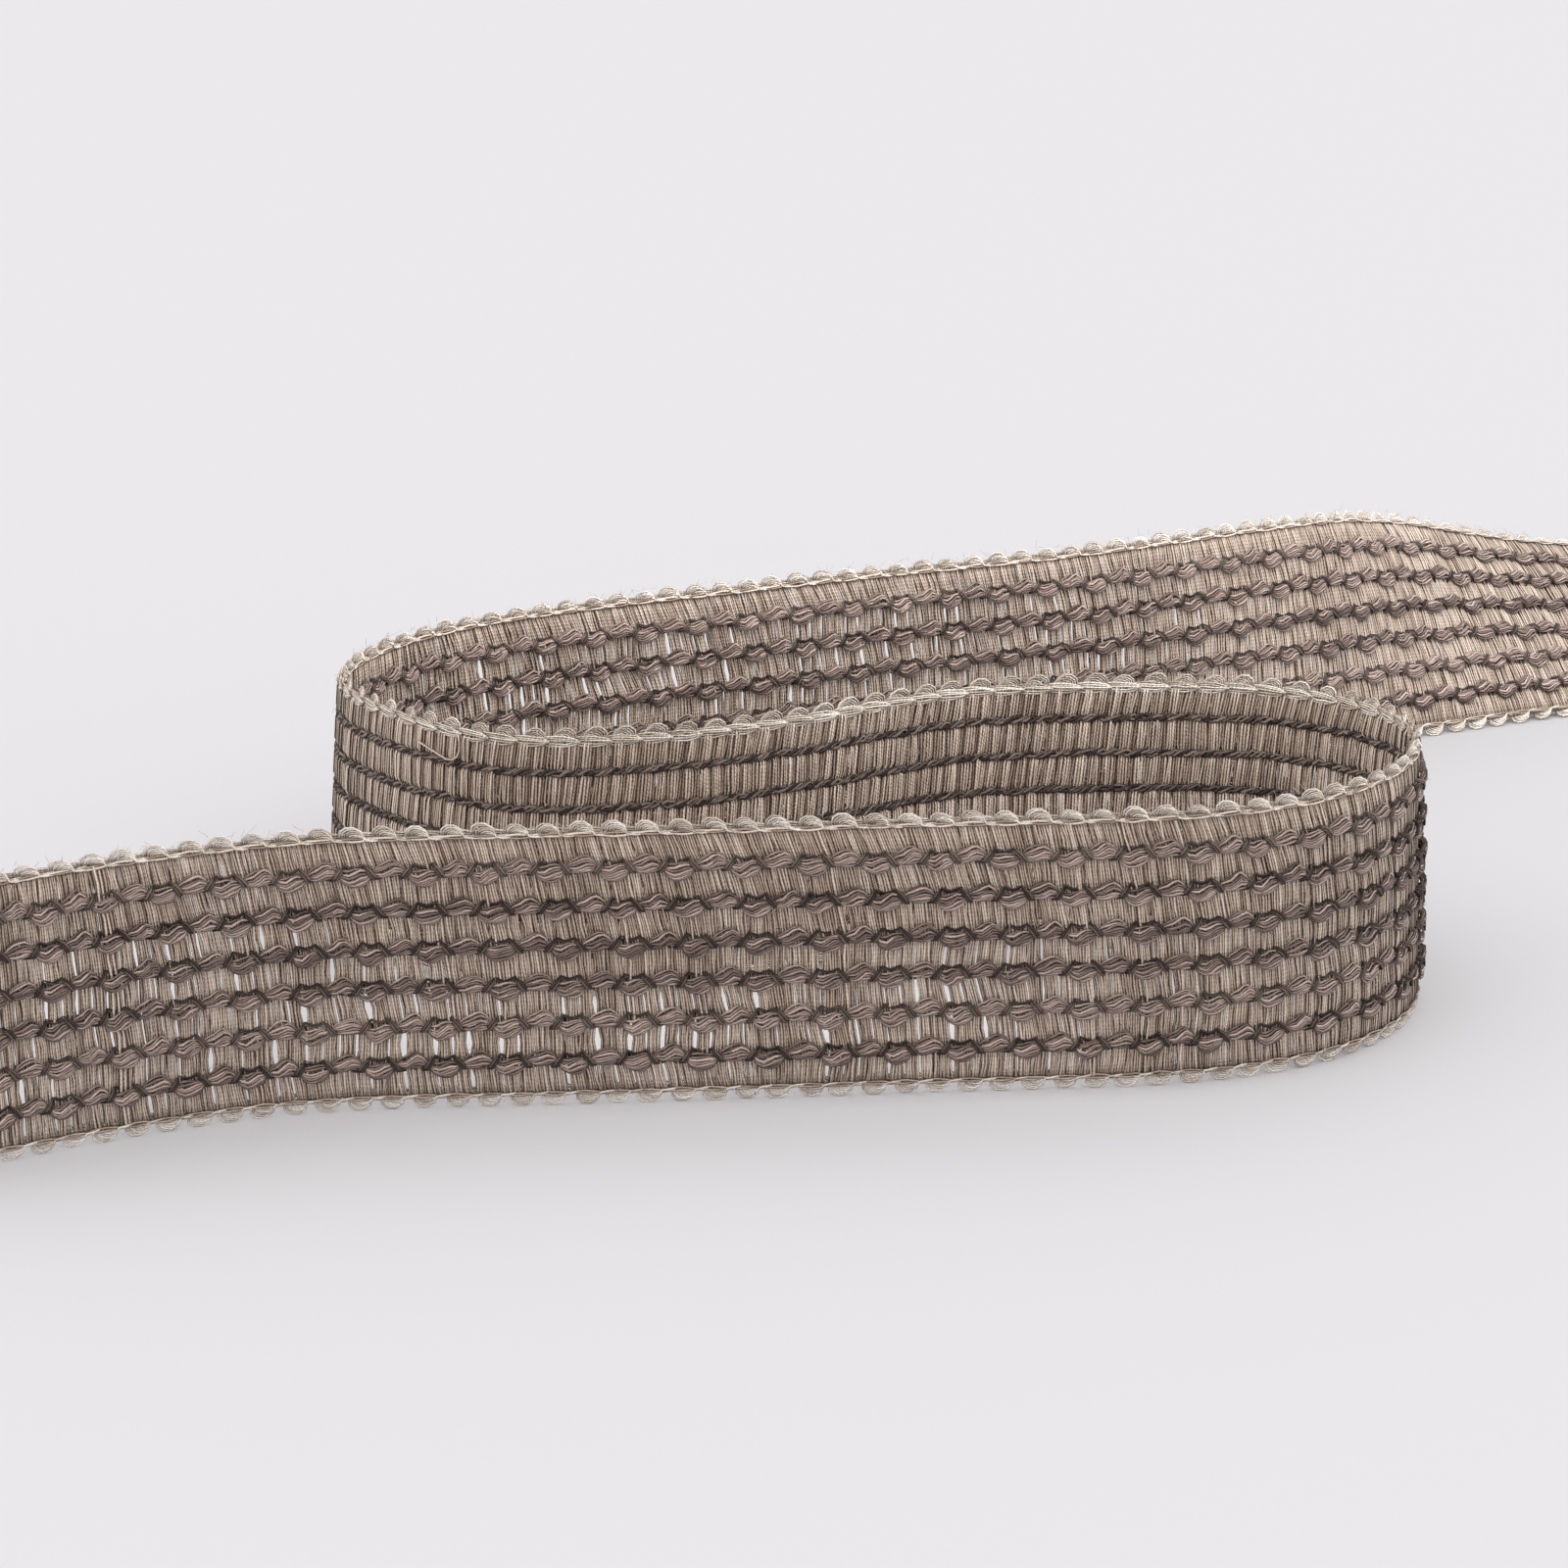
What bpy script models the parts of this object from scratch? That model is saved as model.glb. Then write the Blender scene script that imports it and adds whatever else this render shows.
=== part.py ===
"""Woven linen braid trim, a cut length standing on its long edge in a loose S.

The band is one solid.  A smooth plan curve carries a cross-section: a thin
ground, six raised cord rows that sway on the face, and a thicker chain line
under a scalloped picot edge at the top.  The lower edge is flat where it
stands.
"""
import math

import bpy
import numpy as np

MM = 0.001

# Driving sizes, in millimetres
BAND_WIDTH = 38.0
PICOT_HEIGHT = 1.25
PICOT_PITCH = 4.1
PICOT_SCALLOP = 0.8
GROUND_HALF = 0.6
CHAIN_HALF = 0.85
ROW_COUNT = 6
ROW_PITCH = 5.15
ROW_CREST = 1.75
ROW_SWAY = 0.45

# Where the standing edge runs, seen from above, and how far the band leans
# back from its face there, at the foot and at the head, in degrees:
# columns x, y, foot lean, head lean
PLAN = (
    (-108, -99.0, 0, 0),
    (-97, -92.6, 0, 0),
    (-80, -83.6, 0, 0),
    (-62, -77.0, 0, 0),
    (-38, -74.2, 0, 0),
    (-5, -71.6, 0, 0),
    (30, -68.6, 0, 0),
    (56, -65.2, 0, 0),
    (72.5, -57.4, 1, 1),
    (84.2, -41.5, 2, 2),
    (84.4, -24.5, 2, 2),
    (71, -11.6, 1, 1),
    (46, -9.0, 0, 0),
    (24, -12.2, 0, 0),
    (4, -23.5, 0, 0),
    (-18, -32.6, 0, 0),
    (-38, -33.0, 0, 0),
    (-54, -22.6, -2, -2),
    (-64, -6.0, -4, -4),
    (-58.5, 10.0, -3, -3),
    (-38, 26.0, 0, 0),
    (-10, 38.8, 0, 0),
    (16, 49.6, 0, 0),
    (46, 60.0, 2, 2),
    (70, 69.2, 8, 8),
    (90, 77.0, 17, 20),
    (107, 85.0, 30, 37),
    (124, 92.4, 42, 53),
    (142, 99.6, 50, 64),
    (156, 105.0, 53, 68),
)

# Finish of the cloth
BRAID_COLOUR = (0.36, 0.30, 0.24, 1.0)
BRAID_ROUGHNESS = 0.9

# Points read along each plan step before the curve is measured
FINE_STEPS = 24


def spline_slopes(knots, values):
    """Slopes of the smoothest cubic through the values, straight at its ends."""
    count = len(knots)
    gaps = np.diff(knots)
    matrix = np.zeros((count, count))
    right = np.zeros((count,) + values.shape[1:])
    rise = np.diff(values, axis=0) / gaps[:, None]
    matrix[0, 0], matrix[0, 1] = 2.0, 1.0
    right[0] = 3.0 * rise[0]
    matrix[-1, -1], matrix[-1, -2] = 2.0, 1.0
    right[-1] = 3.0 * rise[-1]
    for i in range(1, count - 1):
        matrix[i, i - 1] = gaps[i]
        matrix[i, i] = 2.0 * (gaps[i - 1] + gaps[i])
        matrix[i, i + 1] = gaps[i - 1]
        right[i] = 3.0 * (rise[i - 1] * gaps[i] + rise[i] * gaps[i - 1])
    return np.linalg.solve(matrix, right)


def plan_curve():
    """Fine points (x, y, foot lean, head lean) along the plan, and their arc lengths."""
    values = np.array(PLAN, dtype=float)
    chords = np.hypot(np.diff(values[:, 0]), np.diff(values[:, 1]))
    knots = np.concatenate(([0.0], np.cumsum(chords)))
    slopes = spline_slopes(knots, values)
    fine = []
    for i in range(len(knots) - 1):
        gap = knots[i + 1] - knots[i]
        for t in np.arange(FINE_STEPS) / FINE_STEPS:
            start = values[i] * (1 + 2 * t) * (1 - t) ** 2
            end = values[i + 1] * t * t * (3 - 2 * t)
            bend = gap * (slopes[i] * t * (1 - t) ** 2 - slopes[i + 1] * t * t * (1 - t))
            fine.append(start + end + bend)
    fine.append(values[-1])
    fine = np.array(fine)
    steps = np.hypot(np.diff(fine[:, 0]), np.diff(fine[:, 1]))
    return np.concatenate(([0.0], np.cumsum(steps))), fine


def station(arc, arcs, fine):
    """Foot point, direction out of the face and the two leans at one arc length."""
    x, y, foot, head = (np.interp(arc, arcs, fine[:, k]) for k in range(4))
    ahead = [np.interp(arc + 0.5, arcs, fine[:, k]) for k in range(2)]
    behind = [np.interp(arc - 0.5, arcs, fine[:, k]) for k in range(2)]
    along = np.subtract(ahead, behind)
    along /= np.linalg.norm(along)
    face = (along[1], -along[0])
    return (x, y), face, math.radians(foot), math.radians(head)


def lean_path(up, foot, head):
    """How far back and how high a point lies after a length up the leaning band."""
    if abs(head - foot) < 1e-6:
        return up * math.sin(foot), up * math.cos(foot), foot
    turn = (head - foot) / BAND_WIDTH
    end = foot + turn * up
    back = (math.cos(foot) - math.cos(end)) / turn
    high = (math.sin(end) - math.sin(foot)) / turn
    return back, high, end


def place(arc, up, out, arcs, fine):
    """World place of a point up the band and out of its face; the foot is cut level."""
    (x, y), face, foot, head = station(arc, arcs, fine)
    if up == 0.0:
        reach = out / math.cos(foot)
        return x + face[0] * reach, y + face[1] * reach, 0.0
    back, high, lean = lean_path(up, foot, head)
    reach = out * math.cos(lean) - back
    return x + face[0] * reach, y + face[1] * reach, high + out * math.sin(lean)


def row_centre(row):
    """Height of a cord row up the band; the rows share the width evenly about its middle."""
    return BAND_WIDTH / 2 + (row - (ROW_COUNT - 1) / 2) * ROW_PITCH


def cross_section(phase):
    """Points (up, out) round the band; phase 0 to 3 counts half picots along it."""
    chain = BAND_WIDTH - PICOT_HEIGHT
    sway = (ROW_SWAY, 0.0, -ROW_SWAY, 0.0)[phase]
    scallop = (0.0, PICOT_SCALLOP, 0.0, PICOT_SCALLOP)[phase]
    points = [(0.0, GROUND_HALF)]
    for row in range(ROW_COUNT):
        points.append((row_centre(row) - ROW_PITCH / 2, GROUND_HALF))
        points.append((row_centre(row) + sway, ROW_CREST))
    points.append((row_centre(ROW_COUNT - 1) + ROW_PITCH / 2, GROUND_HALF))
    points.append((chain, CHAIN_HALF))
    points.append((BAND_WIDTH - scallop, 0.0))
    points.append((chain, -CHAIN_HALF))
    points.append((0.0, -GROUND_HALF))
    return points


def band_mesh():
    """Loft of the cross-sections, one every half picot, with flat cut ends."""
    arcs, fine = plan_curve()
    half_picots = int(arcs[-1] / (PICOT_PITCH / 2))
    rings = []
    for i in range(half_picots + 1):
        arc = i * PICOT_PITCH / 2
        rings.append([place(arc, up, out, arcs, fine) for up, out in cross_section(i % 4)])
    points = np.array(rings)
    centre = (points.min(axis=(0, 1)) + points.max(axis=(0, 1))) / 2
    points -= (centre[0], centre[1], 0.0)
    count = points.shape[1]
    faces = []
    for i in range(half_picots):
        for k in range(count):
            n = (k + 1) % count
            faces.append((i * count + k, (i + 1) * count + k, (i + 1) * count + n, i * count + n))
    faces.append(tuple(range(count)))
    faces.append(tuple(half_picots * count + k for k in range(count))[::-1])
    mesh = bpy.data.meshes.new("braid_band")
    mesh.from_pydata([tuple(p * MM) for p in points.reshape(-1, 3)], [], faces)
    return mesh


def braid_material():
    """Matt oatmeal linen."""
    material = bpy.data.materials.new("oatmeal_linen")
    material.use_nodes = True
    shader = material.node_tree.nodes["Principled BSDF"]
    shader.inputs["Base Color"].default_value = BRAID_COLOUR
    shader.inputs["Roughness"].default_value = BRAID_ROUGHNESS
    shader.inputs["Metallic"].default_value = 0.0
    return material


def clear_scene():
    for old in list(bpy.data.objects):
        bpy.data.objects.remove(old, do_unlink=True)


def main():
    clear_scene()
    collection = bpy.data.collections.new("woven_braid_trim")
    bpy.context.scene.collection.children.link(collection)
    band = bpy.data.objects.new("braid_band", band_mesh())
    band.data.materials.append(braid_material())
    collection.objects.link(band)


main()
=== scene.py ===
"""Woven linen braid trim, dressed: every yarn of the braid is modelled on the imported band.

All yarns are drawn in the band's own measures, in millimetres: arc is the
length along the standing edge, up is the height across the band, and out is
the distance in front of its middle, towards the face with the cord rows.
"""
import math

import bpy
import numpy as np
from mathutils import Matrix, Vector


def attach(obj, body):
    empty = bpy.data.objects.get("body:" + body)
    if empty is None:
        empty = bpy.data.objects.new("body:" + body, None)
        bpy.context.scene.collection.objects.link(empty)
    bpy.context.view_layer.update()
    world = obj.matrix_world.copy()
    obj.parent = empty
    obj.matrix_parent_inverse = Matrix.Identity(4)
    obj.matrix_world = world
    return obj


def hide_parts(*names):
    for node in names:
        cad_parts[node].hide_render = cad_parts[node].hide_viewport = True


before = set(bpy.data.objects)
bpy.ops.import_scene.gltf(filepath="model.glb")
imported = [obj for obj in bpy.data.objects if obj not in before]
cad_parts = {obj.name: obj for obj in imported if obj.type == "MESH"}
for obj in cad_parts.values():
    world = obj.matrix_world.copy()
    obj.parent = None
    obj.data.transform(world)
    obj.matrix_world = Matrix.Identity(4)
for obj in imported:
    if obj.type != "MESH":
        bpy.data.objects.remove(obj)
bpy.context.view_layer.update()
bpy.ops.object.select_all(action="DESELECT")

MM = 0.001
rng = np.random.default_rng(38)

# Driving sizes, in millimetres, as in the part
BAND_WIDTH = 38.0
PICOT_PITCH = 4.1
ROW_COUNT = 6
ROW_PITCH = 5.15
PICOT_RISE = 1.7
CHAIN_LOW = 1.6
CHAIN_HIGH = 36.4
ROWS = [BAND_WIDTH / 2 + (row - (ROW_COUNT - 1) / 2) * ROW_PITCH for row in range(ROW_COUNT)]
BUNDLE_PITCH = PICOT_PITCH / 2

# Where the standing edge runs, seen from above, and how far the band leans
# back from its face there, at the foot and at the head, in degrees:
# columns x, y, foot lean, head lean
PLAN = (
    (-108, -99.0, 0, 0),
    (-97, -92.6, 0, 0),
    (-80, -83.6, 0, 0),
    (-62, -77.0, 0, 0),
    (-38, -74.2, 0, 0),
    (-5, -71.6, 0, 0),
    (30, -68.6, 0, 0),
    (56, -65.2, 0, 0),
    (72.5, -57.4, 1, 1),
    (84.2, -41.5, 2, 2),
    (84.4, -24.5, 2, 2),
    (71, -11.6, 1, 1),
    (46, -9.0, 0, 0),
    (24, -12.2, 0, 0),
    (4, -23.5, 0, 0),
    (-18, -32.6, 0, 0),
    (-38, -33.0, 0, 0),
    (-54, -22.6, -2, -2),
    (-64, -6.0, -4, -4),
    (-58.5, 10.0, -3, -3),
    (-38, 26.0, 0, 0),
    (-10, 38.8, 0, 0),
    (16, 49.6, 0, 0),
    (46, 60.0, 2, 2),
    (70, 69.2, 8, 8),
    (90, 77.0, 17, 20),
    (107, 85.0, 30, 37),
    (124, 92.4, 42, 53),
    (142, 99.6, 50, 64),
    (156, 105.0, 53, 68),
)

# The frame's origin, the middle of the part's box, in the plan
ORIGIN = (23.111, 16.917)

# Points read along each plan step before the curve is measured
FINE_STEPS = 24

# The camera of the photograph: its height above the horizon, its distance
# from the middle of the plan and its lens for a 36 mm sensor
CAMERA_TILT = math.radians(18.0)
CAMERA_DISTANCE = 633.0
CAMERA_LENS = 4554.0 * 36.0 / 1600.0


def spline_slopes(knots, values):
    """Slopes of the smoothest cubic through the values, straight at its ends."""
    count = len(knots)
    gaps = np.diff(knots)
    matrix = np.zeros((count, count))
    right = np.zeros((count,) + values.shape[1:])
    rise = np.diff(values, axis=0) / gaps[:, None]
    matrix[0, 0], matrix[0, 1] = 2.0, 1.0
    right[0] = 3.0 * rise[0]
    matrix[-1, -1], matrix[-1, -2] = 2.0, 1.0
    right[-1] = 3.0 * rise[-1]
    for i in range(1, count - 1):
        matrix[i, i - 1] = gaps[i]
        matrix[i, i] = 2.0 * (gaps[i - 1] + gaps[i])
        matrix[i, i + 1] = gaps[i - 1]
        right[i] = 3.0 * (rise[i - 1] * gaps[i] + rise[i] * gaps[i - 1])
    return np.linalg.solve(matrix, right)


def plan_curve():
    """Fine points (x, y, foot lean, head lean) along the plan, and their arc lengths."""
    values = np.array(PLAN, dtype=float)
    chords = np.hypot(np.diff(values[:, 0]), np.diff(values[:, 1]))
    knots = np.concatenate(([0.0], np.cumsum(chords)))
    slopes = spline_slopes(knots, values)
    fine = []
    for i in range(len(knots) - 1):
        gap = knots[i + 1] - knots[i]
        for t in np.arange(FINE_STEPS) / FINE_STEPS:
            start = values[i] * (1 + 2 * t) * (1 - t) ** 2
            end = values[i + 1] * t * t * (3 - 2 * t)
            bend = gap * (slopes[i] * t * (1 - t) ** 2 - slopes[i + 1] * t * t * (1 - t))
            fine.append(start + end + bend)
    fine.append(values[-1])
    fine = np.array(fine)
    steps = np.hypot(np.diff(fine[:, 0]), np.diff(fine[:, 1]))
    return np.concatenate(([0.0], np.cumsum(steps))), fine


ARCS, FINE = plan_curve()
LENGTH = int(ARCS[-1] / BUNDLE_PITCH) * BUNDLE_PITCH


def lay(arc, up, out):
    """World places, in millimetres, of points given on the band, and the way out of its face there."""
    x, y, foot, head = (np.interp(arc, ARCS, FINE[:, k]) for k in range(4))
    ahead = [np.interp(arc + 0.5, ARCS, FINE[:, k]) for k in range(2)]
    behind = [np.interp(arc - 0.5, ARCS, FINE[:, k]) for k in range(2)]
    run_x, run_y = ahead[0] - behind[0], ahead[1] - behind[1]
    size = np.hypot(run_x, run_y)
    run_x, run_y = run_x / size, run_y / size
    foot, head = np.radians(foot), np.radians(head)
    turn = (head - foot) / BAND_WIDTH
    lean = foot + turn * up
    even = np.abs(turn) < 1e-7
    safe = np.where(even, 1.0, turn)
    back = np.where(even, up * np.sin(foot), (np.cos(foot) - np.cos(lean)) / safe)
    high = np.where(even, up * np.cos(foot), (np.sin(lean) - np.sin(foot)) / safe)
    reach = out * np.cos(lean) - back
    z = high + out * np.sin(lean)
    place = np.stack([x + run_y * reach - ORIGIN[0], y - run_x * reach - ORIGIN[1], z], axis=-1)
    face = np.stack([run_y * np.cos(lean), -run_x * np.cos(lean), np.sin(lean)], axis=-1)
    return place, face


def unit(vectors):
    return vectors / np.maximum(np.linalg.norm(vectors, axis=-1, keepdims=True), 1e-9)


def spin_yarns(name, arc, up, out, thick, sides, tones, behind=False):
    """One mesh of many yarns, each a closed tube along a row of points on the band.

    arc, up and out are arrays with a row for each yarn; thick is a yarn's
    half thickness, a number or such an array; tones is one value a yarn,
    kept as an attribute; behind turns a flat side of the tubes to the back.
    """
    arc, up, out = np.broadcast_arrays(arc, up, out)
    count, steps = arc.shape
    middle, face = lay(arc, up, out)
    along = unit(np.gradient(middle, axis=1))
    outward = unit(face - along * (face * along).sum(axis=-1, keepdims=True))
    side = np.cross(outward, along)
    thick = np.broadcast_to(thick, arc.shape)[..., None]
    rings = []
    for k in range(sides):
        turn = 2 * math.pi * ((k + 0.25 * (sides % 2)) / sides + 0.5 * behind)
        rings.append(middle + thick * (math.cos(turn) * side + math.sin(turn) * outward))
    points = np.stack(rings, axis=2)
    points[..., 2] = np.maximum(points[..., 2], 0.0)
    index = np.arange(count * steps * sides).reshape(count, steps, sides)
    here, there = index[:, :-1], index[:, 1:]
    quads = np.stack([here, np.roll(here, -1, 2), np.roll(there, -1, 2), there], axis=-1)
    quads = quads.reshape(-1, 4)
    starts = index[:, 0, ::-1].reshape(count, sides)
    ends = index[:, -1].reshape(count, sides)
    mesh = bpy.data.meshes.new(name)
    corners = np.concatenate([quads.ravel(), starts.ravel(), ends.ravel()])
    sizes = np.concatenate([np.full(len(quads), 4), np.full(2 * count, sides)])
    mesh.vertices.add(points.size // 3)
    mesh.vertices.foreach_set("co", (points * MM).ravel())
    mesh.loops.add(len(corners))
    mesh.loops.foreach_set("vertex_index", corners.astype(np.int32))
    mesh.polygons.add(len(sizes))
    mesh.polygons.foreach_set("loop_start", np.concatenate(([0], np.cumsum(sizes)[:-1])).astype(np.int32))
    mesh.update(calc_edges=True)
    mesh.shade_smooth()
    steps_along = np.linalg.norm(np.diff(middle, axis=1), axis=-1)
    run = np.concatenate([np.zeros((count, 1)), np.cumsum(steps_along, axis=1)], axis=1)
    layout = mesh.uv_layers.new(name="yarn")
    run_all = np.repeat(run.ravel(), sides)
    around = (np.arange(sides) + 0.25 * (sides % 2)) / sides
    round_quads = np.stack([around, around + 1 / sides, around + 1 / sides, around], axis=-1)
    round_quads = np.tile(round_quads.ravel(), count * (steps - 1))
    round_caps = np.full(2 * count * sides, 0.25)
    round_all = np.concatenate([round_quads, round_caps])
    layout.data.foreach_set("uv", np.stack([run_all[corners], round_all], axis=-1).ravel())
    tone = mesh.attributes.new("tone", "FLOAT", "POINT")
    tone.data.foreach_set("value", np.repeat(np.broadcast_to(tones, count), steps * sides).astype(np.float32))
    piece = bpy.data.objects.new(name, mesh)
    bpy.context.scene.collection.objects.link(piece)
    return piece


def yarn_material(name, deep, middle, pale, shade, roughness, sheen):
    """Spun yarn: its sides painted darker as shade where it sinks between its neighbours, with specks, patches and
    fine plies.

    A yarn's own tone, a value from 0 to 1 that its mesh keeps, and the place
    round it pick the colour; the shade painted on its sides keeps the lines
    between yarns crisp, and shade is how much darker its sides are painted.
    """
    material = bpy.data.materials.new(name)
    material.use_nodes = True
    nodes = material.node_tree.nodes
    links = material.node_tree.links

    def new(kind, **values):
        node = nodes.new("ShaderNode" + kind)
        for key, value in values.items():
            setattr(node, key, value)
        return node

    def combine(operation, first, second, third=0.0):
        node = new("Math", operation=operation)
        for socket, value in zip(node.inputs, (first, second, third)):
            if isinstance(value, float):
                socket.default_value = value
            else:
                links.new(value, socket)
        return node.outputs["Value"]

    shader = nodes["Principled BSDF"]
    shader.inputs["Roughness"].default_value = roughness
    shader.inputs["Sheen Weight"].default_value = sheen
    shader.inputs["Sheen Roughness"].default_value = 0.5
    shader.inputs["Specular IOR Level"].default_value = 0.25
    tone = new("Attribute", attribute_name="tone").outputs["Fac"]
    uv = new("UVMap", uv_map="yarn").outputs["UV"]
    parts = new("SeparateXYZ")
    links.new(uv, parts.inputs["Vector"])
    # painted shade: 1 where a yarn faces out and 0 on its sides, which the colour paints darker
    painted_crown_light = combine("SINE", combine("MULTIPLY", parts.outputs["Y"], 2 * math.pi), 0.0)
    painted_crown_light = combine("MULTIPLY", painted_crown_light, painted_crown_light)
    place = new("TexCoord").outputs["Object"]
    strand = new("CombineXYZ")
    links.new(combine("MULTIPLY", parts.outputs["X"], 0.7), strand.inputs["X"])
    links.new(combine("MULTIPLY", parts.outputs["Y"], 2.5), strand.inputs["Y"])
    links.new(combine("MULTIPLY", tone, 60.0), strand.inputs["Z"])
    streak = new("TexNoise")
    streak.inputs["Scale"].default_value = 1.0
    streak.inputs["Detail"].default_value = 3.0
    links.new(strand.outputs["Vector"], streak.inputs["Vector"])
    patch = new("TexNoise")
    patch.inputs["Scale"].default_value = 90.0
    patch.inputs["Detail"].default_value = 3.0
    links.new(place, patch.inputs["Vector"])
    # painted shade: the sides of each yarn are painted darker, by shade
    level = combine("MULTIPLY_ADD", painted_crown_light, shade, -0.05 - shade)
    level = combine("MULTIPLY_ADD", tone, 0.6, level)
    level = combine("MULTIPLY_ADD", streak.outputs["Fac"], 0.65, level)
    level = combine("MULTIPLY_ADD", patch.outputs["Fac"], 0.3, level)
    ramp = new("ValToRGB")
    ramp.color_ramp.elements[0].position = 0.0
    ramp.color_ramp.elements[0].color = deep + (1.0,)
    ramp.color_ramp.elements[1].position = 1.0
    ramp.color_ramp.elements[1].color = pale + (1.0,)
    stop = ramp.color_ramp.elements.new(0.5)
    stop.color = middle + (1.0,)
    links.new(level, ramp.inputs["Fac"])
    links.new(ramp.outputs["Color"], shader.inputs["Base Color"])
    twist = combine("MULTIPLY_ADD", parts.outputs["X"], PLY_TURNS, parts.outputs["Y"])
    plies = combine("SINE", combine("MULTIPLY", twist, 4 * math.pi), 0.0)
    bump = new("Bump")
    bump.inputs["Strength"].default_value = 0.5
    bump.inputs["Distance"].default_value = 0.00005
    links.new(plies, bump.inputs["Height"])
    links.new(bump.outputs["Normal"], shader.inputs["Normal"])
    return material


# Turns of a yarn's two plies in a millimetre
PLY_TURNS = 0.9

LINEN = yarn_material("oatmeal_linen", (0.12, 0.08, 0.053), (0.565, 0.423, 0.328), (0.92, 0.8, 0.68), 0.9, 0.7, 0.2)
EDGE_LINEN = yarn_material("pale_edge_linen", (0.25, 0.185, 0.135), (0.82, 0.72, 0.615), (1.0, 0.96, 0.9), 1.0, 0.7, 0.3)
TAUPE = yarn_material("taupe_cord", (0.035, 0.024, 0.02), (0.26, 0.178, 0.149), (0.68, 0.535, 0.465), 0.9, 0.75, 0.15)
DARK = yarn_material("dark_brown_tie", (0.014, 0.009, 0.008), (0.055, 0.037, 0.031), (0.21, 0.16, 0.135), 0.8, 0.8, 0.05)
CHAIN_DARK = yarn_material("dark_brown_chain", (0.014, 0.009, 0.008), (0.045, 0.03, 0.025), (0.28, 0.215, 0.18), 0.8, 0.8, 0.05)


# How the ground is drawn: bundles of weft ends across the band, held by
# eight lines of stitches, the two edge chains and the six rows

LINES = np.array([CHAIN_LOW] + ROWS + [CHAIN_HIGH])
BUNDLES = int(LENGTH / BUNDLE_PITCH)
# how far the weft is drawn back along the band at each line, from the bottom chain up
LINE_DRIFT = (0.0, -0.2, -0.5, -0.95, -1.2, -2.0, -3.0, -4.4)
# columns length along the band, and the share of that drift there; the cut ends follow the weft
DRIFT_SHARE = ((0, 0.0), (40, 0.8), (100, 1.0), (190, 1.0), (260, 0.45), (400, 0.45), (450, 1.0), (600, 0.9), (652, 0.0))
# columns length along the band, and how far its slits open there
OPENNESS = ((0, 1.0), (120, 0.9), (165, 0.6), (190, 0.1), (415, 0.1), (440, 1.0), (545, 0.8), (600, 0.3), (652, 0.3))
# how far the slits open between two lines, from the bottom zone up, at the front and at the back
FRONT_OPENNESS = (0.7, 1.0, 1.0, 0.9, 0.6, 0.3, 0.2)
BACK_OPENNESS = (0.6, 0.75, 0.75, 0.75, 0.75, 0.7, 0.22)
# columns length along the band, and the share of those at the back; every second slit is smaller at the front
BACK_SHARE = ((190, 0.0), (415, 1.0))
SMALL_SLIT = ((190, 0.45), (415, 0.95))
END_HALF = 0.19
SLIT_HALF = 0.36
SLIT_AT_LINE = 0.2
# painted shade: how much darker the outer ends of a bundle are painted, and its middle ends lighter, for the shadow
# in the gaps between bundles
OUTER_PAINTED_SHADE = 0.3
# columns length along the band, and how far its back stands out in pillows there
PILLOWS = ((165, 1.0), (190, 1.7), (415, 1.7), (440, 1.0))


def soft_noise(count, arc, every, size):
    """Smooth random wander with a new value each given length along the band."""
    knots = np.arange(0.0, LENGTH + 2 * every, every)
    values = rng.normal(0.0, size, (count, len(knots)))
    return np.stack([np.interp(arc, knots, row) for row in values])


WANDER_KNOTS = np.arange(0.0, LENGTH + 20.0, 10.0)
WANDER = rng.normal(0.0, 0.28, (len(LINES), len(WANDER_KNOTS)))


def drift(line, arc):
    """How far the weft is drawn along the band at a line of stitches."""
    wander = np.interp(arc, WANDER_KNOTS, WANDER[line])
    return np.interp(arc, *np.transpose(DRIFT_SHARE)) * (LINE_DRIFT[line] + wander)


def draw_bundles():
    """Left and right sides of every bundle at each line, and of its slits in each zone."""
    borders = np.arange(BUNDLES + 1) * BUNDLE_PITCH
    at_lines = np.stack([borders + drift(line, borders) for line in range(len(LINES))], axis=1)
    at_lines += rng.normal(0.0, 0.07, at_lines.shape)
    back = np.interp(borders, *np.transpose(BACK_SHARE))[:, None]
    openness = (1.0 - back) * np.array(FRONT_OPENNESS) + back * np.array(BACK_OPENNESS)
    openness = openness * np.interp(borders, *np.transpose(OPENNESS))[:, None]
    openness[1::2] *= np.interp(borders[1::2], *np.transpose(SMALL_SLIT))[:, None]
    slits = SLIT_HALF * openness * np.clip(rng.uniform(-0.15, 1.35, openness.shape), 0.0, None)
    return at_lines, slits


BORDERS, SLITS = draw_bundles()


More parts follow.
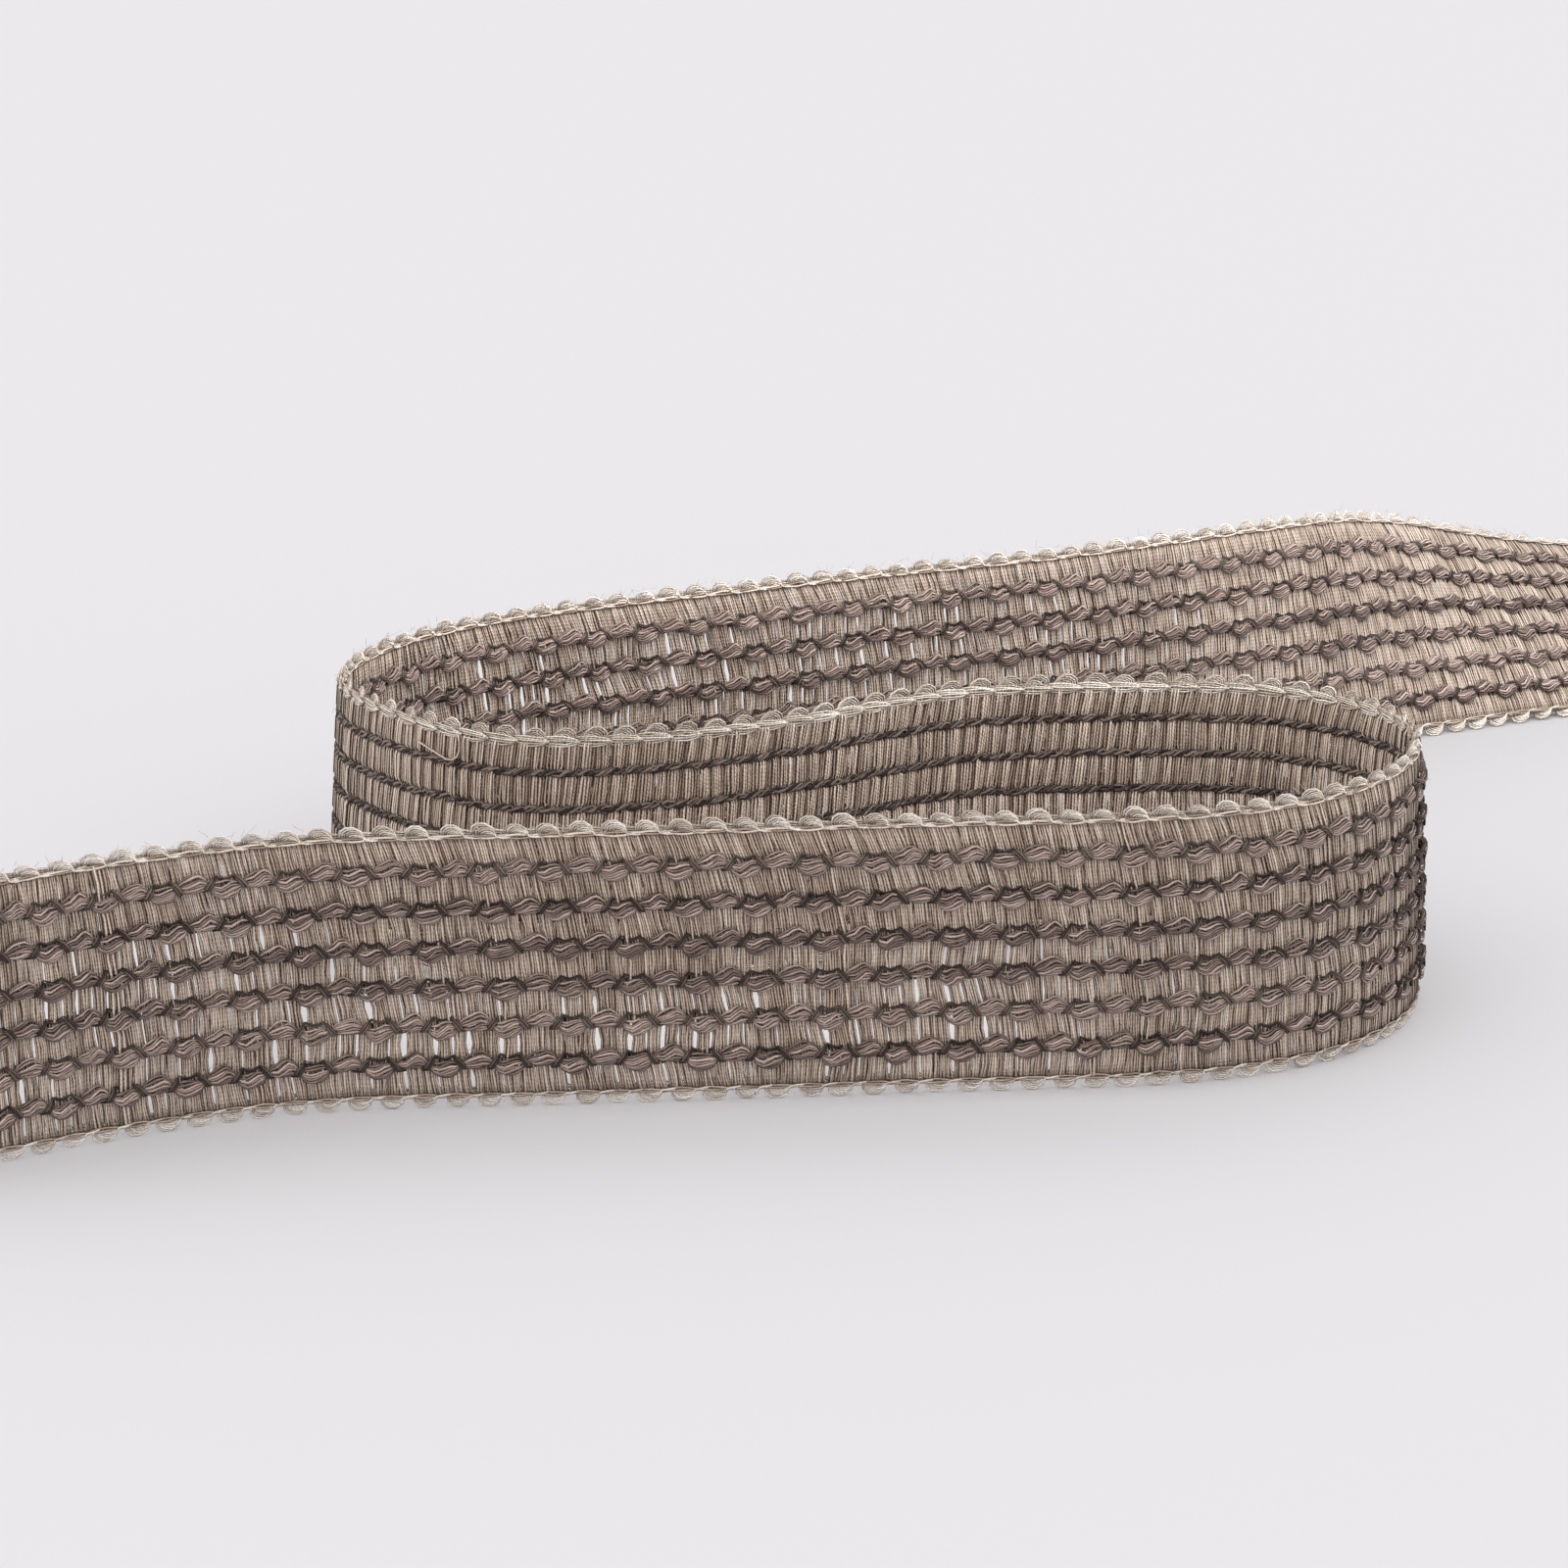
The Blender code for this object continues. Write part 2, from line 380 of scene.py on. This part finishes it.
def make_weft(names, ends, half, shares, edge, pinch, out_line, out_between, bulge, spread):
    """One layer of the weft in stretches; shares are the places between two lines where an end is drawn.

    half is the half thickness of an end, edge is how far the outer ends keep from a bundle's side, pinch how much
    further they keep at the lines, bulge how far a bundle's middle stands out
    between the lines, and spread the wander of each end.
    """
    levels = [(line, share) for line in range(len(LINES) - 1) for share in (0.0,) + shares]
    levels.append((len(LINES) - 2, 1.0))
    left, right, heights, between = [], [], [], []
    for line, share in levels:
        at_line = share in (0.0, 1.0)
        middle = BORDERS[:, line] * (1.0 - share) + BORDERS[:, line + 1] * share
        slit = SLITS[:, line] * (SLIT_AT_LINE if at_line else 1.0) + edge + (pinch if at_line else 0.0)
        left.append(middle[:-1] + slit[:-1])
        right.append(middle[1:] - slit[1:])
        heights.append(LINES[line] * (1.0 - share) + LINES[line + 1] * share)
        between.append(0.0 if at_line else 1.0)
    left, right = np.stack(left, axis=1)[:, None, :], np.stack(right, axis=1)[:, None, :]
    between = np.array(between)
    place = np.linspace(0.0, 1.0, ends)[None, :, None]
    arc = left + place * (right - left) + rng.normal(0.0, spread, left.shape[:1] + (ends, len(levels)))
    arc = np.clip(arc, END_HALF, LENGTH - END_HALF)
    inner = 1.0 - (2.0 * place - 1.0) ** 2
    out = (out_between - out_line + bulge * inner) * between
    if out_line < 0.0:
        out = out * np.interp(np.arange(BUNDLES) * BUNDLE_PITCH, *np.transpose(PILLOWS))[:, None, None]
    out = out_line + out
    out = out + rng.normal(0.0, 0.08, arc.shape[:2] + (1,)) + rng.normal(0.0, 0.03, arc.shape)
    thick = half * rng.uniform(0.85, 1.12, arc.shape[:2] + (1,)) + np.zeros(arc.shape)
    tones = 0.55 * rng.uniform(0.0, 1.0, arc.shape[:2]) + 0.18 * rng.uniform(0.0, 1.0, (BUNDLES, 1))
    tones = tones + 0.2 * (np.arange(ends) % 2)
    # painted shade: the outer ends of each bundle are darker and its middle ends lighter, for the shadow between
    # bundles
    tones = np.clip(tones + OUTER_PAINTED_SHADE * (inner[:, :, 0] - 0.5), 0.0, 1.0)
    pieces = []
    for name, part in zip(names, np.array_split(np.arange(BUNDLES), len(names))):
        rows = (len(part) * ends, len(levels))
        piece = spin_yarns(
            name,
            arc[part].reshape(rows),
            np.broadcast_to(heights, rows),
            out[part].reshape(rows),
            thick[part].reshape(rows),
            3,
            tones[part].ravel(),
            behind=out_line < 0.0,
        )
        piece.data.materials.append(LINEN)
        pieces.append((piece, len(part) * BUNDLE_PITCH * MM))
    return pieces


# The cord rows on the face: soft taupe yarns that swell into lobes above and
# below a row's line, and a dark tie that crosses them at each pinch

LOBE_STEPS = 6
LOBE_SWING = 0.6
LOBE_SHARE = 0.05
SWING_SQUARE = 1.4
LOBE_START = -0.95
CORD_RISE = 0.5
# angle from the way out, in degrees, and share of the cord's half size
FILAMENTS = ((-78, 1.0), (-44, 1.0), (-21, 1.0), (0, 1.0), (21, 1.0), (44, 1.0), (78, 1.0))


def row_steps(row, steps_a_lobe):
    """Places along a row, in step with its lobes, and where they lie on the band."""
    base = np.arange(int(LENGTH / PICOT_PITCH * steps_a_lobe) + 1) * PICOT_PITCH / steps_a_lobe
    arc = base - LOBE_START + drift(row + 1, base)
    return base, np.clip(np.concatenate(([0.0], arc[1:-1], [LENGTH])), 0.0, LENGTH)


def make_cord_row(row):
    """One row: seven filaments over a flattened swell at each swing."""
    base, arc = row_steps(row, LOBE_STEPS)
    square = np.tanh(SWING_SQUARE * (np.cos(math.pi * base / PICOT_PITCH) - LOBE_SHARE))
    wave = square / math.tanh(SWING_SQUARE)
    swell = np.abs(wave) ** 1.15 * (1.0 + soft_noise(1, arc, PICOT_PITCH, 0.07)[0])
    high = 0.26 + 0.74 * swell * np.where(wave > 0.0, 1.12, 1.0)
    deep = 0.18 + 0.56 * swell
    lean = 24.0 + soft_noise(1, arc, PICOT_PITCH, 8.0)[0]
    slant = lean * np.sin(2 * math.pi * base / PICOT_PITCH)
    count = len(FILAMENTS)
    angles = np.array([angle for angle, share in FILAMENTS])[:, None] + slant
    angles = np.radians(angles + soft_noise(count, arc, PICOT_PITCH / 2, 7.0))
    shares = np.array([share for angle, share in FILAMENTS])[:, None]
    shares = shares * (1.0 + soft_noise(count, arc, PICOT_PITCH / 3, 0.1))
    middle = ROWS[row] + LOBE_SWING * wave + soft_noise(1, arc, PICOT_PITCH, 0.1)
    up = middle + shares * high * np.sin(angles)
    out = CORD_RISE + 0.08 * swell + shares * deep * np.cos(angles)
    thick = (0.15 + 0.08 * swell) * (1.0 + soft_noise(count, arc, PICOT_PITCH / 2, 0.08))
    piece = spin_yarns(f"cord_row_{row + 1}", arc[None, :], up, out, thick, 3, rng.uniform(0, 1, count))
    piece.data.materials.append(TAUPE)
    return piece


TIE_SWING = 1.08
TIE_DIP = 0.4
TIE_APART = 0.2


def make_tie_row(row):
    """Two dark threads that cross over each pinch and run close above the lower lobes."""
    base, arc = row_steps(row, 7)
    swing = np.cos(math.pi * base / PICOT_PITCH) - LOBE_SHARE
    wave = -np.clip(1.9 * swing, -1.0, 1.0)
    over = 1.0 - np.abs(wave) ** 8
    dip = 1.0 - TIE_DIP * swing ** 4 - 0.25 * (wave < 0.0)
    up = ROWS[row] + TIE_SWING * wave * dip + soft_noise(1, arc, 2.0, 0.05)[0]
    run, rise = np.gradient(base), np.gradient(up)
    size = np.hypot(run, rise)
    apart = TIE_APART * np.array([-1.0, 1.0])[:, None] * (0.6 + 0.4 * over + soft_noise(2, arc, 1.5, 0.15))
    out = 0.3 - 0.2 * (wave < -0.9) + 1.0 * over + soft_noise(2, arc, 1.5, 0.03)
    arcs = np.clip(arc - apart * rise / size, 0.0, LENGTH)
    up, thick = up + apart * run / size, 0.13 + 0.085 * over
    piece = spin_yarns(f"tie_row_{row + 1}", arcs, up, out, thick, 3, rng.uniform(0, 1, 2))
    piece.data.materials.append(DARK)
    return piece


CHAIN_TURN = 3.1
CHAIN_STRANDS = 4


def make_back_chain(row):
    """The dark chain that holds a row on the back: four loose threads wound unevenly round each other."""
    arc = np.linspace(0.0, LENGTH, int(LENGTH / CHAIN_TURN * 3.7) + 1)
    turn = 2 * math.pi * (arc / CHAIN_TURN + np.arange(CHAIN_STRANDS)[:, None] / CHAIN_STRANDS)
    turn = turn + soft_noise(CHAIN_STRANDS, arc, 1.9, 0.8)
    up = ROWS[row] + 0.4 * np.sin(turn) + soft_noise(1, arc, 3.0, 0.12) + soft_noise(CHAIN_STRANDS, arc, 1.1, 0.1)
    out = -0.5 + 0.16 * np.cos(turn) + soft_noise(CHAIN_STRANDS, arc, 1.1, 0.05)
    thick = 0.29 * (1.0 + soft_noise(CHAIN_STRANDS, arc, 0.8, 0.2))
    tones = rng.uniform(0, 1, CHAIN_STRANDS)
    piece = spin_yarns(f"back_chain_{row + 1}", arc[None, :], up, out, thick, 3, tones, behind=True)
    piece.data.materials.append(CHAIN_DARK)
    return piece


# The looped edges: a nest of pale ends over each picot, whose tails run on
# under the next one, a cord along the face and leaf stitches at the back

PICOT_ENDS = 6
PICOT_START = 2.2
PICOT_LEFT = -1.65
PICOT_RIGHT = 1.5
PICOT_LEAN = 0.3


def make_picots(name, edge, way):
    """The picots of one edge; way is 1 on the top edge and -1 on the bottom edge."""
    count = int((LENGTH - PICOT_START) / PICOT_PITCH)
    middles = (np.arange(count) * PICOT_PITCH + PICOT_START)[:, None, None]
    middles = middles + rng.normal(0.0, 0.12, middles.shape)
    nest = np.linspace(0.0, 1.0, PICOT_ENDS)[None, :, None]
    size = rng.uniform(0.86, 1.06, (count, 1, 1))
    sweep = np.radians([0, 36, 72, 108, 146, 180])
    left = PICOT_LEFT * size * (0.1 + 0.9 * nest)
    half = (PICOT_RIGHT - left) / 2
    arc_loop = middles + left + half * (1.0 - np.cos(sweep)) - PICOT_LEAN * nest * np.sin(sweep)
    up_loop = PICOT_RISE * size * (0.2 + 0.8 * nest) * np.sin(sweep) ** 0.8 - 0.1
    arc_tail = middles + PICOT_RIGHT + np.array([0.8, 1.7]) + 0.0 * nest
    up_tail = np.array([-0.08, -0.12]) + 0.3 * (nest - 0.5) + 0.0 * size
    arc = np.concatenate([arc_loop, arc_tail], axis=-1)
    up = np.concatenate([up_loop, up_tail], axis=-1)
    across = np.array([-0.35, -0.2, 0.0, 0.15, 0.28, 0.36, 0.42, 0.2])
    out = across + 0.14 * (1.0 - nest) + rng.normal(0.0, 0.03, arc.shape)
    arc += rng.normal(0.0, 0.03, arc.shape)
    up += rng.normal(0.0, 0.03, arc.shape)
    thick = 0.155 * rng.uniform(0.88, 1.1, (count, PICOT_ENDS, 1)) + np.zeros(arc.shape)
    rows = (count * PICOT_ENDS, arc.shape[-1])
    piece = spin_yarns(
        name,
        np.clip(arc, 0.2, LENGTH - 0.2).reshape(rows),
        (edge + way * up).reshape(rows),
        out.reshape(rows),
        thick.reshape(rows),
        3,
        rng.uniform(0, 1, rows[0]),
    )
    piece.data.materials.append(EDGE_LINEN)
    return piece


def make_edge_cord(name, edge, way):
    """Two ends that run along the face under the picots, loosely wound."""
    arc = np.linspace(0.0, LENGTH, int(LENGTH / BUNDLE_PITCH * 2) + 1)
    turn = 2 * math.pi * arc / (2 * PICOT_PITCH) + np.array([0.0, math.pi])[:, None]
    up = edge + way * (-0.12 + 0.2 * np.sin(turn)) + soft_noise(2, arc, 1.5, 0.06)
    out = 0.36 + 0.08 * np.cos(turn) + soft_noise(2, arc, 1.5, 0.03)
    piece = spin_yarns(name, arc[None, :], up, out, 0.18, 3, rng.uniform(0, 1, 2))
    piece.data.materials.append(LINEN)
    return piece


LEAF_BRANCHES = (1.0, 0.55, 0.12, -0.5, -1.0)


def make_edge_chain(name, edge, way):
    """Leaf stitches along one edge, at the back: five ends that close to a point over the next leaf."""
    count = int(LENGTH / PICOT_PITCH) - 1
    points = (np.arange(count) * PICOT_PITCH + 0.1)[:, None, None]
    along = np.array([0.0, 0.8, 2.0, 3.3, 4.6])
    opening = np.array([0.06, 0.44, 0.66, 0.7, 0.6])
    branch = np.array(LEAF_BRANCHES)[None, :, None]
    arc = points + along + rng.normal(0.0, 0.05, (count, len(LEAF_BRANCHES), len(along)))
    up = -0.15 - 0.1 * (opening - 0.3) + branch * opening + rng.normal(0.0, 0.04, arc.shape)
    out = -0.35 - np.array([0.55, 0.48, 0.34, 0.12, -0.05]) * (1.0 - 0.3 * np.abs(branch)) + rng.normal(0.0, 0.03, arc.shape)
    rows = (count * len(LEAF_BRANCHES), len(along))
    piece = spin_yarns(
        name,
        np.clip(arc, 0.2, LENGTH - 0.2).reshape(rows),
        (edge + way * up).reshape(rows),
        out.reshape(rows),
        0.15,
        3,
        rng.uniform(0, 1, rows[0]),
        behind=True,
    )
    piece.data.materials.append(EDGE_LINEN)
    return piece


# A loose end that hangs down the back in a bend: columns length along the band and height
LOOSE_END = (
    (372.4, 33.9),
    (370.9, 33.5),
    (369.7, 33.15),
    (368.4, 32.75),
    (367.3, 32.4),
    (366.3, 32.45),
    (365.5, 33.0),
    (365.1, 33.9),
    (365.05, 35.1),
    (365.2, 36.1),
)


def make_loose_end():
    """The loose end, a little off the back."""
    arc, up = np.transpose(LOOSE_END)[:, None, :]
    piece = spin_yarns("loose_end", arc, up, -1.0, 0.16, 5, 0.6)
    piece.data.materials.append(LINEN)
    return piece


# Loose fibres that stand off the yarns

def make_fuzz(name, groups, material):
    """Hairs; a group is count, lowest and highest place up, place out, reach up, reach out, length."""
    arcs, ups, outs = [], [], []
    for count, low, high, start, rise, away, length in groups:
        t = np.linspace(0.0, 1.0, 4)[None, :]
        size = length * rng.uniform(0.4, 1.0, (count, 1))
        arcs.append(rng.uniform(1.0, LENGTH - 1.0, (count, 1)) + size * rng.normal(0.0, 0.6, (count, 1)) * t)
        bow = size * rng.normal(0.0, 0.35, (count, 1)) * t * t
        ups.append(rng.uniform(low, high, (count, 1)) + size * rise * rng.normal(0.5, 0.5, (count, 1)) * t + bow)
        outs.append(start + size * away * rng.uniform(0.2, 1.0, (count, 1)) * t)
    arc, up, out = (np.concatenate(a) for a in (arcs, ups, outs))
    up = np.clip(up, 0.05, BAND_WIDTH + 1.5)
    piece = spin_yarns(name, arc, up, out, 0.026, 3, rng.uniform(0, 1, len(arc)))
    piece.data.materials.append(material)
    return piece


FACE_STRETCHES = ("weft_front", "weft_middle", "weft_back")
BACK_STRETCHES = ("weft_lining_front", "weft_lining_middle", "weft_lining_back")

ground = make_weft(FACE_STRETCHES, 6, END_HALF, (0.5,), 0.15, 0.0, 0.1, 0.12, 0.08, 0.075)
lining = make_weft(BACK_STRETCHES, 5, 0.185, (0.2, 0.8), 0.21, 0.17, -0.1, -0.26, -0.14, 0.05)
dressing = [piece for piece, length in lining] + [make_loose_end()]
for row in range(ROW_COUNT):
    dressing += [make_cord_row(row), make_tie_row(row), make_back_chain(row)]
for edge_name, edge, way in (("top", CHAIN_HIGH, 1.0), ("bottom", CHAIN_LOW, -1.0)):
    dressing.append(make_picots(f"picots_{edge_name}", edge, way))
    dressing.append(make_edge_cord(f"edge_cord_{edge_name}", edge, way))
    dressing.append(make_edge_chain(f"edge_chain_{edge_name}", edge, way))
dressing.append(
    make_fuzz(
        "fuzz_linen",
        (
            (900, 36.8, 38.2, 0.2, 1.0, 0.5, 1.3),
            (300, 35.9, 37.2, -0.6, 0.8, -0.6, 1.0),
            (300, 0.3, 1.5, 0.3, -0.3, 0.8, 1.2),
            (250, 2.0, 36.0, 0.3, 0.3, 0.5, 2.0),
            (200, 2.0, 36.0, -0.3, 0.3, -0.5, 2.0),
            (50, 4.0, 33.0, -0.75, 0.8, -0.15, 5.0),
        ),
        EDGE_LINEN,
    )
)
dark_groups = [(90, up - 1.0, up + 1.0, 1.1, 0.3, 0.7, 1.2) for up in ROWS]
dark_groups += [(70, up - 0.3, up + 0.3, -0.5, 0.4, -0.6, 1.1) for up in ROWS]
dressing.append(make_fuzz("fuzz_taupe", dark_groups, TAUPE))

for piece, length in ground:
    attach(piece, "root")
    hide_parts("braid_band")
for piece in dressing:
    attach(piece, "root")


# The table, the light and the camera

def floor_material():
    material = bpy.data.materials.new("pale_paper")
    material.use_nodes = True
    shader = material.node_tree.nodes["Principled BSDF"]
    shader.inputs["Base Color"].default_value = (0.80, 0.79, 0.81, 1.0)
    shader.inputs["Roughness"].default_value = 0.9
    return material


bpy.ops.object.select_all(action="DESELECT")
bpy.ops.mesh.primitive_plane_add(size=24.0, location=(0.0, 2.0, -0.0001))
floor = bpy.context.object
floor.name = "floor"
floor.data.materials.append(floor_material())

def broad_light(name, energy, towards, spread):
    """A far soft light that comes from a direction, as wide as a window."""
    lamp = bpy.data.lights.new(name, "SUN")
    lamp.energy = energy
    lamp.angle = math.radians(spread)
    lamp_place = bpy.data.objects.new(name, lamp)
    bpy.context.scene.collection.objects.link(lamp_place)
    lamp_place.rotation_euler = Vector(towards).to_track_quat("Z", "Y").to_euler()


broad_light("window_behind", 0.35, (0.5, 0.5, 1.0), 50.0)
broad_light("softbox_in_front", 0.66, (0.0, -0.6, 1.0), 70.0)
broad_light("softbox_right", 0.42, (1.0, -0.45, 0.5), 60.0)
broad_light("softbox_left", 0.4, (-1.0, -0.4, 0.45), 60.0)

# a small softbox over the folds, kept off the table, which lights what the front fold shades
fold_light = bpy.data.lights.new("fold_light", "AREA")
fold_light.energy = 0.5
fold_light.shape = "RECTANGLE"
fold_light.size = 0.36
fold_light.size_y = 0.13
fold_place = bpy.data.objects.new("fold_light", fold_light)
bpy.context.scene.collection.objects.link(fold_place)
fold_place.location = (0.01, -0.025, 0.18)
fold_place.rotation_euler = Vector((0.0, -0.12, 0.2)).to_track_quat("Z", "Y").to_euler()
lit_by_fold_light = bpy.data.collections.new("lit_by_fold_light")
for piece in [piece for piece, length in ground] + dressing:
    lit_by_fold_light.objects.link(piece)
fold_place.light_linking.receiver_collection = lit_by_fold_light

# a narrow light straight down into the front bay, for the table that shows through the slits
bay_light = bpy.data.lights.new("bay_light", "AREA")
bay_light.energy = 0.004
bay_light.shape = "RECTANGLE"
bay_light.size = 0.11
bay_light.size_y = 0.04
bay_light.spread = math.radians(15.0)
bay_place = bpy.data.objects.new("bay_light", bay_light)
bpy.context.scene.collection.objects.link(bay_place)
bay_place.location = (-0.02, -0.062, 0.2)
lit_by_bay_light = bpy.data.collections.new("lit_by_bay_light")
lit_by_bay_light.objects.link(floor)
bay_place.light_linking.receiver_collection = lit_by_bay_light

world = bpy.data.worlds.new("studio")
bpy.context.scene.world = world
world.use_nodes = True
world.node_tree.nodes["Background"].inputs["Color"].default_value = (1.0, 0.99, 1.0, 1.0)
world.node_tree.nodes["Background"].inputs["Strength"].default_value = 0.66
bpy.context.scene.view_settings.view_transform = "Standard"

eye = bpy.data.cameras.new("photo_view")
camera = bpy.data.objects.new("photo_view", eye)
bpy.context.scene.collection.objects.link(camera)
eye.sensor_width = 36.0
eye.lens = CAMERA_LENS
camera.location = (
    -ORIGIN[0] * MM,
    (-CAMERA_DISTANCE * math.cos(CAMERA_TILT) - ORIGIN[1]) * MM,
    (BAND_WIDTH / 2 + CAMERA_DISTANCE * math.sin(CAMERA_TILT)) * MM,
)
camera.rotation_euler = (math.pi / 2 - CAMERA_TILT, 0.0, 0.0)
eye.clip_start = 0.01
bpy.context.scene.camera = camera
